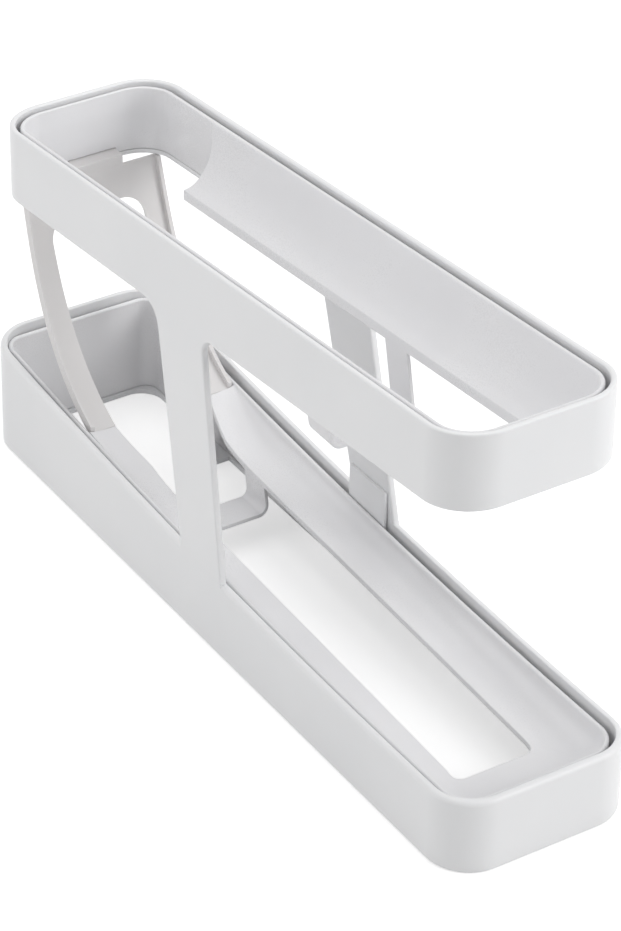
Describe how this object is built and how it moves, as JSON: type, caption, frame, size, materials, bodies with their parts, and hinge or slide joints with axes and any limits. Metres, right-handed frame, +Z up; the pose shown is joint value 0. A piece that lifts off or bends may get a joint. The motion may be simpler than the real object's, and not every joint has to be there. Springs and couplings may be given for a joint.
{
  "type": "egg holder",
  "caption": "Free-standing gravity egg rack: an upper track sloping to the back, a curved drop chute and a lower track sloping to the open front, set in rounded bands joined by side posts.",
  "frame": {"origin": "on the ground under the middle of the base band", "axes": "+Z up, +X towards the front end where eggs are put in above and taken out below, +Y to the left of someone who looks along +X"},
  "size_m": [0.35, 0.083, 0.1819],
  "materials": {
    "band": "satin",
    "track": "satin",
    "chute": "satin"
  },
  "bodies": {
    "root": {"base_ring": "band", "upper_frame": "band", "upper_track": "track", "rear_chute": "chute", "lower_track": "track"}
  },
  "joints": []
}
